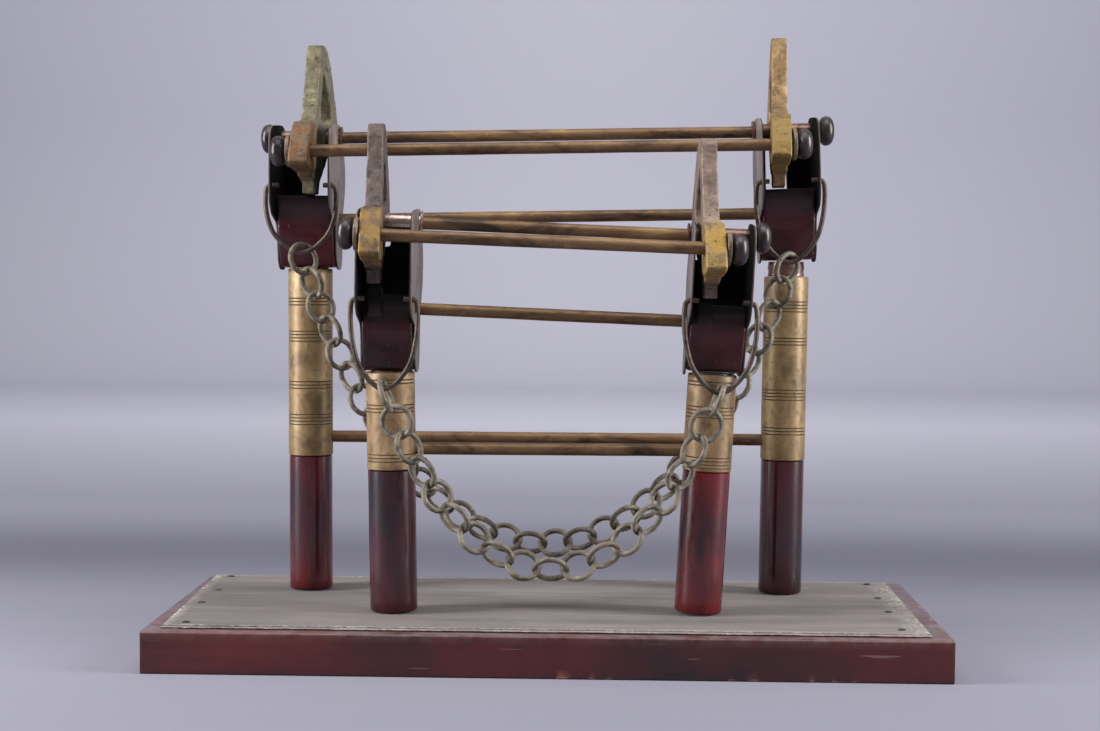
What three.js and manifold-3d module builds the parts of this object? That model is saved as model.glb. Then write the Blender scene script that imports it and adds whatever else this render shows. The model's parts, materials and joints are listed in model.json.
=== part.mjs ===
import * as THREE from 'three';
import Module from 'manifold-3d';
import { mergeVertices } from 'three/addons/utils/BufferGeometryUtils.js';

// Units are millimetres, +Z up, +X to the viewer's right, +Y away from the viewer.
// The origin is the middle of the whole footprint, on the underside of the wooden base: the front
// levers reach a little past the base's front edge, so the base stands CENTRE_Y behind the middle.

const wasm = await Module();
wasm.setup();

const GAP = 0.3;                       // air left between separate pieces
const CENTRE_Y = 1.95;                 // what the front levers' reach moves everything back by

// Base and its cloth top.
const BASE = { width: 460, depth: 196, height: 24.3, edge: 2.4 };
const CLOTH = { front: [-221, 219.5], back: [-227, 221], yMin: -88, yMax: 95, thick: 1.0, corner: 3 };
const CLOTH_TOP = BASE.height + GAP + CLOTH.thick;

// Rods, knobs and wires.
const ROD_R = 3.7;
const SLEEVE = { outer: 5.0, inner: ROD_R + GAP, flareR: 7.2, flareLen: 1.3 };
const KNOB = { radius: 9.4, length: 9.6 };
const WASHER = { radius: 9.6, thick: 2.6 };
const WIRE_R = 1.5;
const RING = { radius: 9.3, wire: 1.7, pitch: 15.5 };

// Head plates. BAIL_U is how far in front of the pin the bail's ends pass through the plates.
const BAIL_U = 36.5;
const CHEEK_T = 1.2;
const BLOCK_CLEAR = 0.4;

// One entry for each post. foot: centre of the foot on the cloth. top: centre of the head where the
// cross pin runs. Half is half the width over the cheeks. drop: pin centre down to the cheek tips.
const POSTS = {
  front_left: {
    foot: [-93.1, -29.7], tubeTop: [-95.8, 169.6], top: [-94.9, 258.9], half: 16.3, drop: 89.4,
    handleTop: 111.5, radius: 14.6, inner: 'right', bailV: -45.5, bailLen: 51.5, leverX: -103.4,
    leverYaw: -2.6, ribRest: true, boreV: -8.9, bands: [[118.5, 3], [148, 3]],
  },
  front_right: {
    foot: [89.6, -24.4], tubeTop: [96.9, 169.6], top: [101.0, 251.6], half: 17.8, drop: 83.4,
    handleTop: 112, radius: 14.6, inner: 'left', bailV: -38.6, bailLen: 52.0, leverX: 91.4,
    leverYaw: -2.6, ribRest: true, boreV: -8.2, bands: [[117, 4], [147, 4]],
  },
  back_left: {
    foot: [-155.2, 47.9], tubeTop: [-156.0, 230.9], top: [-156.4, 313.8], half: 18.8, drop: 83.6,
    handleTop: 112, radius: 14.1, inner: 'right', bailV: -31.5, bailLen: 41.0, leverX: -149.9,
    leverYaw: 2.6, boreV: -11.8, bands: [[135, 4], [157, 3], [188, 4], [210, 3]],
  },
  back_right: {
    foot: [146.2, 51.6], tubeTop: [147.9, 228.0], top: [144.8, 320.0], half: 17.9, drop: 83.2,
    handleTop: 111.5, radius: 14.1, inner: 'left', bailV: -33.0, bailLen: 49.5, leverX: 140.5,
    leverYaw: 2.6, boreV: -12.2, bands: [[130, 3], [153, 4], [187, 3], [209, 4]],
  },
};

// Finishes.
const FINISH = {
  lacquer: [0x3a1216, 0.35, 0.0], cloth: [0x7c7b70, 0.95, 0.0], brass: [0x8a6a34, 0.45, 0.9],
  plate: [0x8d8580, 0.5, 0.8], iron: [0x57504c, 0.5, 0.8], rod: [0x74583a, 0.45, 0.85],
  knob: [0x5a5354, 0.4, 0.85], copper: [0xc07a5a, 0.35, 0.9], chain: [0x7b7a58, 0.6, 0.8],
};

const group = new THREE.Group();
group.name = 'articulated_linkage_stand';

const materials = {};
for (const [name, [color, roughness, metalness]] of Object.entries(FINISH)) {
  materials[name] = new THREE.MeshStandardMaterial({ color, roughness, metalness });
  materials[name].name = name;
}

function add(name, geometry, finish) {
  geometry.translate(0, CENTRE_Y, 0);
  const mesh = new THREE.Mesh(geometry, materials[finish]);
  mesh.name = name;
  group.add(mesh);
}

function closed(geometry) {
  const copy = geometry.clone();
  copy.deleteAttribute('normal');
  copy.deleteAttribute('uv');
  return mergeVertices(copy, 1e-4);
}

function solid(geometry) {
  const g = closed(geometry);
  return new wasm.Manifold(new wasm.Mesh({
    numProp: 3,
    vertProperties: new Float32Array(g.attributes.position.array),
    triVerts: new Uint32Array(g.index.array),
  }));
}

function geometryOf(manifold) {
  const m = manifold.getMesh();
  const g = new THREE.BufferGeometry();
  g.setAttribute('position', new THREE.BufferAttribute(new Float32Array(m.vertProperties), 3));
  g.setIndex(new THREE.BufferAttribute(new Uint32Array(m.triVerts), 1));
  g.computeVertexNormals();
  return g;
}

// Revolves a profile of [radius, height] pairs about Z.
function turned(profile, segments) {
  const points = profile.map(([r, z]) => new THREE.Vector2(r, z));
  const g = new THREE.LatheGeometry(points, segments);
  g.rotateX(Math.PI / 2);
  return closed(g);
}

// Moves a solid built along +Z so that its axis runs from one point to another.
function along(geometry, from, to) {
  const a = new THREE.Vector3(...from);
  const d = new THREE.Vector3(...to).sub(a).normalize();
  const q = new THREE.Quaternion().setFromUnitVectors(new THREE.Vector3(0, 0, 1), d);
  geometry.applyQuaternion(q);
  geometry.translate(a.x, a.y, a.z);
  return geometry;
}

function rod(radius, from, to, segments = 12) {
  const length = new THREE.Vector3(...to).distanceTo(new THREE.Vector3(...from));
  const profile = [[0, 0], [radius, 0], [radius, length], [0, length]];
  return along(turned(profile, segments), from, to);
}

function circle(cx, cy, radius, segments) {
  const points = [];
  for (let i = 0; i < segments; i += 1) {
    const a = (i / segments) * Math.PI * 2;
    points.push(new THREE.Vector2(cx + radius * Math.cos(a), cy + radius * Math.sin(a)));
  }
  return points;
}

// A smooth closed outline through the given [u, v] points.
function smooth(points, count) {
  const curve = new THREE.CatmullRomCurve3(
    points.map(([u, v]) => new THREE.Vector3(u, v, 0)), true, 'centripetal');
  return curve.getPoints(count).slice(0, count).map((p) => new THREE.Vector2(p.x, p.y));
}

// A plate from a [u, v] outline. u runs forward from the pin (towards -Y), v runs up, and the plate
// is thickness wide along X, centred on x = 0.
function plate(outline, holes, thickness) {
  const shape = new THREE.Shape(outline);
  for (const hole of holes) shape.holes.push(new THREE.Path(hole));
  const g = new THREE.ExtrudeGeometry(shape, { depth: thickness, bevelEnabled: false, steps: 1 });
  g.translate(0, 0, -thickness / 2);
  const m = new THREE.Matrix4().set(
    0, 0, 1, 0,
    -1, 0, 0, 0,
    0, 1, 0, 0,
    0, 0, 0, 1);
  // The three columns above send u to -Y, v to +Z and the plate's own depth to +X.
  g.applyMatrix4(m);
  if (m.determinant() < 0) {
    const pos = g.attributes.position;
    for (let i = 0; i < pos.count; i += 3) {
      const b = new THREE.Vector3().fromBufferAttribute(pos, i + 1);
      const c = new THREE.Vector3().fromBufferAttribute(pos, i + 2);
      pos.setXYZ(i + 1, c.x, c.y, c.z);
      pos.setXYZ(i + 2, b.x, b.y, b.z);
    }
  }
  return closed(g);
}

// A round wire along a list of points.
function wire(points, radius, radial, steps) {
  const curve = new THREE.CatmullRomCurve3(points.map((p) => new THREE.Vector3(...p)), false,
    'centripetal');
  const shape = new THREE.Shape(circle(0, 0, radius, radial));
  return closed(new THREE.ExtrudeGeometry(shape, {
    steps, bevelEnabled: false, extrudePath: curve,
  }));
}

// ---- Base -------------------------------------------------------------------------------------

function baseBoard() {
  const { width, depth, height, edge } = BASE;
  const half = (inset) => {
    const s = new THREE.Shape();
    const x = width / 2 - inset;
    const y = depth / 2 - inset;
    const r = 4;
    s.moveTo(-x + r, -y);
    s.lineTo(x - r, -y);
    s.quadraticCurveTo(x, -y, x, -y + r);
    s.lineTo(x, y - r);
    s.quadraticCurveTo(x, y, x - r, y);
    s.lineTo(-x + r, y);
    s.quadraticCurveTo(-x, y, -x, y - r);
    s.lineTo(-x, -y + r);
    s.quadraticCurveTo(-x, -y, -x + r, -y);
    return s;
  };
  const g = new THREE.ExtrudeGeometry(half(edge), {
    depth: height - 2 * edge, curveSegments: 3, bevelEnabled: true, bevelSegments: 2,
    bevelThickness: edge, bevelSize: edge, steps: 1,
  });
  g.translate(0, 0, edge);
  return closed(g);
}

function baseCloth() {
  const { front, back, yMin, yMax, thick, corner } = CLOTH;
  const s = new THREE.Shape();
  s.moveTo(front[0] + corner, yMin);
  s.lineTo(front[1] - corner, yMin);
  s.lineTo(front[1], yMin + corner);
  s.lineTo(back[1], yMax - corner);
  s.lineTo(back[1] - corner, yMax);
  s.lineTo(back[0] + corner, yMax);
  s.lineTo(back[0], yMax - corner);
  s.lineTo(front[0], yMin + corner);
  const g = new THREE.ExtrudeGeometry(s, { depth: thick, bevelEnabled: false });
  g.translate(0, 0, BASE.height + GAP);
  return closed(g);
}

add('base_board', baseBoard(), 'lacquer');
add('base_cloth', baseCloth(), 'cloth');

// ---- Posts ------------------------------------------------------------------------------------

// Point on a post's own axis at a height, from the lean between foot and tube top.
function axisPoint(post, z) {
  const t = (z - CLOTH_TOP) / (post.tubeTop[1] - CLOTH_TOP);
  return [post.foot[0] + t * (post.tubeTop[0] - post.foot[0]), post.foot[1], z];
}

const TANG_R = 11.2;

for (const [name, post] of Object.entries(POSTS)) {
  const lean = Math.abs(post.tubeTop[0] - post.foot[0]) / (post.tubeTop[1] - CLOTH_TOP);
  const start = CLOTH_TOP + GAP / 2 + lean * post.radius;
  const from = axisPoint(post, start);
  const to = axisPoint(post, post.tubeTop[1]);
  const handleLen = post.handleTop - start;
  const tubeLen = post.tubeTop[1] - post.handleTop;

  // Wooden handle: the visible lower part and the tang that fills the brass tube.
  const r = post.radius;
  add(`${name}_handle`, along(turned([
    [0, 0], [r - 1.4, 0], [r - 0.4, 1.4], [r - 0.4, handleLen - GAP], [TANG_R, handleLen - GAP],
    [TANG_R, handleLen + tubeLen - 2], [0, handleLen + tubeLen - 2],
  ], 20), from, to), 'lacquer');

  // Brass tube with its turned grooves, and a hole in its inner side for the lower cross rod.
  const outer = [];
  outer.push([r, handleLen]);
  for (const [z, n] of post.bands) {
    const h = z - start;
    const w = n * 0.9;
    outer.push([r, h - w], [r - 0.45, h - w + 0.5], [r - 0.45, h + w - 0.5], [r, h + w]);
  }
  outer.push([r, handleLen + tubeLen - 0.8], [r - 0.6, handleLen + tubeLen]);
  const inner = TANG_R + GAP;
  const tube = turned([
    ...outer, [inner, handleLen + tubeLen], [inner, handleLen], [r, handleLen],
  ], 20);
  const side = post.inner === 'right' ? 1 : -1;
  const at = axisPoint(post, 123.6);
  const drill = rod(ROD_R + 0.6, at, [at[0] + side * 30, at[1], at[2]], 12);
  add(`${name}_tube`, geometryOf(solid(along(tube, from, to)).subtract(solid(drill))), 'brass');
}

// The collar that shows under the back right head, where the head sits a little high.
add('back_right_neck_collar', (() => {
  const post = POSTS.back_right;
  const low = post.tubeTop[1] + 0.5;
  const high = post.top[1] - post.drop + 0.4;
  const x = post.tubeTop[0] - 0.2;
  return rod(11.6, [x, post.foot[1], low], [x - 0.2, post.foot[1], high], 20);
})(), 'copper');

// ---- Heads ------------------------------------------------------------------------------------

// Outline of a cheek plate around the pin. The part under the pin stretches with the drop.
function cheekOutline(drop) {
  const k = drop / 83.6;
  const s = drop > 86 ? 2.5 : 0;
  return smooth([
    [43, -4], [40, 2.5], [33, 5.5], [20, 7], [6, 8], [-3, 8], [-10, 5.5], [-16, -1],
    [-22, -11 * k], [-26, -22 * k], [-24.5, -33 * k], [-19, -42 * k], [-13.5, -50 * k],
    [-12, -60 * k], [-11.5, -74 * k], [-8, -82 * k], [0, -83.6 * k], [8, -82 * k],
    [13, -76 * k], [15, -65 * k], [18, -55.5 * k - s], [27, -52 * k - s], [37, -48.5 * k - s],
    [43.5, -41 * k - s], [44.5, -30 * k], [44, -16 * k],
  ], 36);
}

// Outline of the wooden block between the cheeks, rounded into a nose at the front. Its crest stays
// below the circle that the lever's heel sweeps.
const CREST = -41;

function blockOutline(low) {
  const crest = Math.min(low + 44.5, CREST);
  return smooth([
    [-11, low], [0, low], [12, low], [15, low + 4], [19, low + 13], [22.5, low + 23],
    [22.5, low + 32], [19.5, crest - 4.5], [13, crest - 0.5], [0, crest], [-9, crest - 2],
    [-14, crest - 9.5], [-14.5, low + 22], [-13, low + 8],
  ], 30);
}

// Across-the-head place of the lever's plate at a distance in front of the pin; the lever is yawed.
function leverPlace(post, tilt, u) {
  const yaw = THREE.MathUtils.degToRad(post.leverYaw);
  return (post.leverX - post.top[0]) / Math.cos(tilt) - u * Math.tan(yaw);
}

// What the lever's lip rests on: a shoulder right across the block of the back heads, and a rib no
// wider than the lip on the front ones.
const REST = { rib: 8.6, middle: 27.5 };

function lipRest(post, width, tilt, top) {
  const rib = post.ribRest;
  const rest = plate([
    [12, -57], [22, -57], [24, -52], [27, top - 7], [30, top - 2], [29, top], [25, top],
    [19, top - 1.5], [12, top - 2.5],
  ].map(([u, v]) => new THREE.Vector2(u, v)), [], rib ? REST.rib : width);
  if (rib) rest.translate(leverPlace(post, tilt, REST.middle), 0, 0);
  return solid(rest);
}

// The block also rises behind the pin, just inside the cheeks' rear edges, and closes the back of the
// head. A slot lets the lever's plate pass through it: down to the crest where the lever swings far,
// and only as far as a small lift needs where a rib holds it.
const SLOT = { half: 6.9, low: -37.5, lowAtRib: -14.5, back: -60, high: 25 };
const WALL_MIDDLE = -15;

function backWall(post, width, tilt) {
  const at = ([u, v]) => new THREE.Vector2(u, v);
  const wall = solid(plate([
    [-9, -56], [-9, -46], [-13.5, -38], [-12, -15], [-7.5, 2], [-7.5, 5], [-9.5, 5.3], [-15, -2],
    [-20.5, -12], [-24, -23], [-22.5, -33], [-17.5, -42], [-14, -50], [-13.5, -56],
  ].map(at), [], width));
  const floor = post.ribRest ? SLOT.lowAtRib : SLOT.low;
  const slot = plate([
    [0, floor], [0, SLOT.high], [SLOT.back, SLOT.high], [SLOT.back, floor],
  ].map(at), [], 2 * SLOT.half);
  slot.translate(leverPlace(post, tilt, WALL_MIDDLE), 0, 0);
  return wall.subtract(solid(slot));
}

const pinPoint = (post) => [post.top[0], post.foot[1], post.top[1]];
const midV = -51.5;
const LIP_REST = -37.3;                // where the lever's lip comes to rest on its block

for (const [name, post] of Object.entries(POSTS)) {
  const [px, py, pz] = pinPoint(post);
  // The head leans from the tube's top up to the pin.
  const low = post.tubeTop[0];
  const tilt = Math.atan2(px - low, post.drop);
  const place = (geometry, x) => {
    geometry.rotateY(tilt);
    geometry.translate(px + x * Math.cos(tilt), py, pz - x * Math.sin(tilt));
    return geometry;
  };
  const bailHole = circle(BAIL_U, post.bailV, WIRE_R + 0.9, 8);
  for (const [side, sign] of [['left', -1], ['right', 1]]) {
    const holes = [circle(0, 0, SLEEVE.outer + 0.8, 14), bailHole];
    if (post.inner === side) holes.push(circle(0, midV, ROD_R + 0.7, 12));
    const x = sign * (post.half - CHEEK_T / 2);
    add(`${name}_cheek_${side}`, place(plate(cheekOutline(post.drop), holes, CHEEK_T), x), 'plate');
  }
  const width = 2 * (post.half - CHEEK_T - BLOCK_CLEAR);
  const under = name === 'back_right' ? 1.6 - post.drop : post.tubeTop[1] - pz + 1.2;
  const foot = under + Math.abs(Math.sin(tilt)) * (width / 2);
  // The lever stands upright in a leaning head, so its rest is lowered by the lean at the lip.
  const rise = [-5, 5].map((d) => -(post.leverX - px + d) * Math.sin(tilt));
  const block = solid(plate(blockOutline(foot), [], width))
    .add(lipRest(post, width, tilt, LIP_REST - Math.max(...rise)))
    .add(backWall(post, width, tilt));
  add(`${name}_head_block`, place(geometryOf(block), 0), 'lacquer');
}

// ---- Levers -----------------------------------------------------------------------------------

const LEVER = { thick: 9.4, bossThick: 11.8, lipThick: 8 };

function leverBody() {
  const outline = smooth([
    [45, 7], [39, 8.5], [36.5, 12], [33, 20], [28.5, 30], [25, 42], [22.5, 51], [18.5, 56],
    [10, 57.5], [2, 56.5], [-5, 52.5], [-15, 42], [-23, 31.5], [-29.5, 22], [-34, 13],
    [-36.5, 5], [-35, -2], [-27, -6.5], [-14, -9], [-2, -12], [9, -20], [20, -27], [32, -29],
    [46, -27], [56, -20], [58, -8], [54, 2],
  ], 42);
  const window = smooth([
    [11, 40], [15, 31], [18.5, 21], [21.5, 11.5], [18.5, 8.8], [4, 8.8], [-9, 8.8], [-12, 13],
    [-7.5, 22], [1, 32],
  ], 16);
  return { outline, window };
}

for (const [name, post] of Object.entries(POSTS)) {
  const pin = circle(0, 0, SLEEVE.outer + 1.0, 14);
  const bore = circle(57, post.boreV, ROD_R + 0.5, 12);
  const { outline, window } = leverBody();
  const body = solid(plate(outline, [window, pin], LEVER.thick));
  const boss = solid(plate([[38, 7.6], [53, 6.6], [57.5, 4], [63, -3], [68.5, -11], [72, -19],
    [70, -21], [52, -24], [42, -22], [38, -10]].map(([u, v]) => new THREE.Vector2(u, v)), [],
  LEVER.bossThick));
  const lip = solid(plate([[38, -26], [37.5, -36.5], [24, -37], [20, -28], [22, -22], [36, -22]]
    .map(([u, v]) => new THREE.Vector2(u, v)), [], LEVER.lipThick));
  const through = solid(plate(bore, [], 30));
  const g = geometryOf(body.add(boss).add(lip).subtract(through));
  g.rotateZ(THREE.MathUtils.degToRad(-post.leverYaw));
  const [, py, pz] = pinPoint(post);
  g.translate(post.leverX, py, pz);
  add(`${name}_lever`, g, 'brass');
}

// ---- Cross rods, sleeves, washers and knobs ---------------------------------------------------

function lineAt(a, b, x) {
  const t = (x - a[0]) / (b[0] - a[0]);
  return [x, a[1] + t * (b[1] - a[1]), a[2] + t * (b[2] - a[2])];
}

// A turned knob whose flat inner face sits at the start of its axis.
function knob(from, to) {
  const { radius: r, length: l } = KNOB;
  const b = ROD_R + GAP;
  return along(turned([
    [b, 0], [r * 0.66, 0], [r * 0.93, l * 0.2], [r, l * 0.45], [r * 0.9, l * 0.72],
    [r * 0.62, l * 0.92], [0, l], [0, l * 0.62], [b, l * 0.62], [b, 0],
  ], 16), from, to);
}

for (const frame of ['front', 'back']) {
  const left = POSTS[`${frame}_left`];
  const right = POSTS[`${frame}_right`];
  const a0 = pinPoint(left);
  const a1 = pinPoint(right);
  const at = (x) => lineAt(a0, a1, x);
  const outerLeft = left.top[0] - left.half;
  const outerRight = right.top[0] + right.half;

  // Pin rod, from knob to knob; the front one has lost its left knob and stops in the sleeve.
  const flare = SLEEVE.flareLen + GAP + 0.6;
  const leftFace = outerLeft - flare - GAP;
  const rightFace = outerRight + flare + GAP + (frame === 'back' ? 2 : 0);
  const seat = KNOB.length * 0.62 - GAP;
  const rodStart = frame === 'front' ? outerLeft - 1.2 : leftFace - seat;
  add(`${frame}_pin_rod`, rod(ROD_R, at(rodStart), at(rightFace + seat)), 'rod');
  add(`${frame}_pin_knob_right`, knob(at(rightFace), at(rightFace + 10)), 'knob');
  if (frame === 'back') add('back_pin_knob_left', knob(at(leftFace), at(leftFace - 10)), 'knob');

  // Copper sleeves through the cheeks, flared outside them.
  for (const [side, post] of [['left', left], ['right', right]]) {
    const h = post.half + GAP + 0.6;
    const s = SLEEVE;
    const profile = [
      [s.inner, -h - s.flareLen], [s.flareR, -h - s.flareLen], [s.flareR, -h], [s.outer, -h],
      [s.outer, h], [s.flareR, h], [s.flareR, h + s.flareLen], [s.inner, h + s.flareLen],
      [s.inner, -h - s.flareLen],
    ];
    const c = at(post.top[0]);
    add(`${frame}_${side}_sleeve`, along(turned(profile, 16), c, at(post.top[0] + 10)), 'copper');
  }

  // Carried rod through the lever noses, with a washer and a knob outside each lever.
  const bossX = (post) => post.leverX - 57 * Math.tan(THREE.MathUtils.degToRad(post.leverYaw));
  const bore = (post) => [bossX(post), post.foot[1] - 57, post.top[1] + post.boreV];
  const b0 = bore(left);
  const b1 = bore(right);
  const on = (x) => lineAt(b0, b1, x);
  const half = LEVER.bossThick / 2 + 0.65;
  const washerLeft = b0[0] - half;
  const washerRight = b1[0] + half;
  const knobLeft = washerLeft - WASHER.thick - GAP;
  const knobRight = washerRight + WASHER.thick + GAP;
  add(`${frame}_lever_rod`, rod(ROD_R, on(knobLeft - seat), on(knobRight + seat)), 'rod');
  add(`${frame}_lever_knob_left`, knob(on(knobLeft), on(knobLeft - 10)), 'knob');
  add(`${frame}_lever_knob_right`, knob(on(knobRight), on(knobRight + 10)), 'knob');
  const ring = [
    [ROD_R + GAP, 0], [WASHER.radius, 0], [WASHER.radius, WASHER.thick],
    [ROD_R + GAP, WASHER.thick], [ROD_R + GAP, 0],
  ];
  add(`${frame}_washer_left`, along(turned(ring, 18), on(washerLeft), on(washerLeft - 5)), 'plate');
  add(`${frame}_washer_right`, along(turned(ring, 18), on(washerRight), on(washerRight + 5)),
    'plate');

  // Fixed rods: one between the heads, one between the brass tubes.
  const midPoint = (post, sign) => {
    const tilt = Math.atan2(post.top[0] - post.tubeTop[0], post.drop);
    const reach = post.half - CHEEK_T - BLOCK_CLEAR + 0.5;
    return [post.top[0] + sign * reach + midV * Math.sin(tilt), post.foot[1],
      post.top[1] + midV * Math.cos(tilt) - sign * reach * Math.sin(tilt)];
  };
  add(`${frame}_middle_rod`, rod(ROD_R, midPoint(left, 1), midPoint(right, -1)), 'rod');
  const t0 = axisPoint(left, 123.6);
  const t1 = axisPoint(right, 123.6);
  const lowAt = (x) => lineAt(t0, t1, x);
  const wall = TANG_R + GAP + 0.6;
  add(`${frame}_lower_rod`, rod(ROD_R, lowAt(t0[0] + wall), lowAt(t1[0] - wall)), 'rod');
}

// ---- Bails and chains -------------------------------------------------------------------------

function bailInfo(post) {
  const tilt = Math.atan2(post.top[0] - post.tubeTop[0], post.drop);
  const cx = post.top[0] + post.bailV * Math.sin(tilt);
  return {
    cx, tilt, y: post.foot[1] - BAIL_U, z: post.top[1] + post.bailV * Math.cos(tilt),
    half: post.half + 3,
  };
}

for (const [name, post] of Object.entries(POSTS)) {
  const { cx, y, z, half, tilt } = bailInfo(post);
  const len = post.bailLen;
  const right = [
    [half - 8, 0], [half - 5, 0], [half - 2.6, -0.1], [half - 0.7, -1.6], [half, -4.5],
    [half, -len * 0.32], [half - 1.2, -len * 0.5], [half * 0.78, -len * 0.72],
    [half * 0.42, -len * 0.92], [half * 0.12, -len],
  ];
  const at = ([x, v]) => [cx + x, y, z + v - x * Math.sin(tilt) * (1 + v / len)];
  const path = right.map(at);
  for (const [x, v] of [...right].reverse()) path.push(at([-x, v]));
  add(`${name}_bail`, wire(path, WIRE_R, 6, 32), 'iron');
}

// Ring centres along a hanging curve between two points at nearly the same height.
function hangingRings(start, end, lowest) {
  const span = end[0] - start[0];
  const sag = (start[2] + end[2]) / 2 - lowest;
  let lo = span / 40;
  let hi = span * 4;
  for (let i = 0; i < 60; i += 1) {
    const a = (lo + hi) / 2;
    if (a * (Math.cosh(span / 2 / a) - 1) > sag) lo = a;
    else hi = a;
  }
  const a = (lo + hi) / 2;
  const total = 2 * a * Math.sinh(span / 2 / a);
  const count = Math.floor(total / RING.pitch) + 1;
  const rings = [];
  for (let i = 0; i < count; i += 1) {
    const f = i / (count - 1);
    const s = (f - 0.5) * total;
    const dx = a * Math.asinh(s / a);
    const x = (start[0] + end[0]) / 2 + dx;
    const z = lowest + a * (Math.cosh(dx / a) - 1) + (f - 0.5) * (end[2] - start[2]);
    rings.push({
      at: new THREE.Vector3(x, start[1] + f * (end[1] - start[1]), z),
      dir: new THREE.Vector3(1, 0, Math.sinh(dx / a)).normalize(),
    });
  }
  return rings;
}

// One ring as a solid, its hole facing across the chain's run, turned about the run by a roll.
function chainRing({ at, dir }, roll) {
  const g = new THREE.TorusGeometry(RING.radius, RING.wire, 4, 10);
  const across = new THREE.Vector3(0, 1, 0);
  const up = new THREE.Vector3().crossVectors(across, dir).normalize();
  const basis = new THREE.Matrix4().makeBasis(dir, up.negate(), across);
  if (basis.determinant() < 0) basis.makeBasis(dir, up.negate(), across);
  g.rotateX(roll);
  g.applyMatrix4(basis);
  g.translate(at.x, at.y, at.z);
  return solid(g);
}

const CHAIN_LOW = { front: 57, back: 61 };
const HANG = 4.3;
for (const frame of ['front', 'back']) {
  const ends = ['left', 'right'].map((side) => {
    const post = POSTS[`${frame}_${side}`];
    const { cx, y, z } = bailInfo(post);
    return [cx + (side === 'left' ? 1.5 : -1.5), y, z - post.bailLen - HANG];
  });
  const rings = hangingRings(ends[0], ends[1], CHAIN_LOW[frame]);
  let chain = null;
  rings.forEach((ring, i) => {
    const fromEnd = Math.min(i, rings.length - 1 - i);
    const turn = frame === 'front' ? Math.max(0, 40 - 15 * fromEnd) : 0;
    const roll = THREE.MathUtils.degToRad(90 * (i % 2) + 45 + (i % 2 === fromEnd % 2 ? turn : -turn));
    const one = chainRing(ring, roll);
    chain = chain ? chain.add(one) : one;
  });
  add(`${frame}_chain`, geometryOf(chain), 'chain');
}

export default group;
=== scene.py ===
"""Looks for the articulated linkage stand: a lacquered board with turned posts, levers and chains."""

import json
import math

import bmesh
import bpy
import numpy as np
from mathutils import Matrix, Vector, noise


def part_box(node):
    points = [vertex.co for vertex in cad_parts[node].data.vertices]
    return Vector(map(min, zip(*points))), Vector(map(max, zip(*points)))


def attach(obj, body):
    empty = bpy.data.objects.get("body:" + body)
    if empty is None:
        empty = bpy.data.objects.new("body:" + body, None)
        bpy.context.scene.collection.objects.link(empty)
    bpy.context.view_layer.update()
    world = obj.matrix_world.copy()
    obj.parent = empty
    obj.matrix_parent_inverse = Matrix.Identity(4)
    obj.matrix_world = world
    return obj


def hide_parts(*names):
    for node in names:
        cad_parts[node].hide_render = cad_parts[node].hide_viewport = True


MM = 0.001
FRAMES = ("front", "back")
SIDES = ("left", "right")
POSTS = [f"{f}_{s}" for f in FRAMES for s in SIDES]

# ---- Camera --------------------------------------------------------------------------------------

CAMERA_AT = (0.0291, -1.1202, 0.2267)
CAMERA_PITCH, CAMERA_YAW, CAMERA_ROLL = 2.762, 1.537, 0.422      # degrees: down, left, tilt
CAMERA_LENS, CAMERA_SENSOR = 60.0, 36.0                           # millimetres

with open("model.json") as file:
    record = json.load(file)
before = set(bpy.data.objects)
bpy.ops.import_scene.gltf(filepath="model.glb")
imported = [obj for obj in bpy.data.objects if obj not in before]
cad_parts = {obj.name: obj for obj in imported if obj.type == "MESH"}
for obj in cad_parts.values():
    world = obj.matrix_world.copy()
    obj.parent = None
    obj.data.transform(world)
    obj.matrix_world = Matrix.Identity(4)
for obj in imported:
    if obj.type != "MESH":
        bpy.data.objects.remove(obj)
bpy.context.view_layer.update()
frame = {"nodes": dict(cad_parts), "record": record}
NODES = frame["nodes"]
JOINTS = {j["name"]: j for j in frame["record"]["behaviour"]["joints"]}


def add_camera():
    data = bpy.data.cameras.new("camera")
    data.lens = CAMERA_LENS
    data.sensor_width = CAMERA_SENSOR
    camera = bpy.data.objects.new("camera", data)
    bpy.context.scene.collection.objects.link(camera)
    turn = (
        Matrix.Rotation(math.radians(CAMERA_YAW), 4, "Z")
        @ Matrix.Rotation(math.radians(90 - CAMERA_PITCH), 4, "X")
        @ Matrix.Rotation(math.radians(CAMERA_ROLL), 4, "Z")
    )
    camera.matrix_world = Matrix.Translation(CAMERA_AT) @ turn
    bpy.context.scene.camera = camera


add_camera()

# ---- Node helpers --------------------------------------------------------------------------------


def rgb(text):
    """A linear colour from six hex digits."""
    values = [int(text[i : i + 2], 16) / 255 for i in (0, 2, 4)]
    return tuple(v / 12.92 if v <= 0.04045 else ((v + 0.055) / 1.055) ** 2.4 for v in values)


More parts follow.
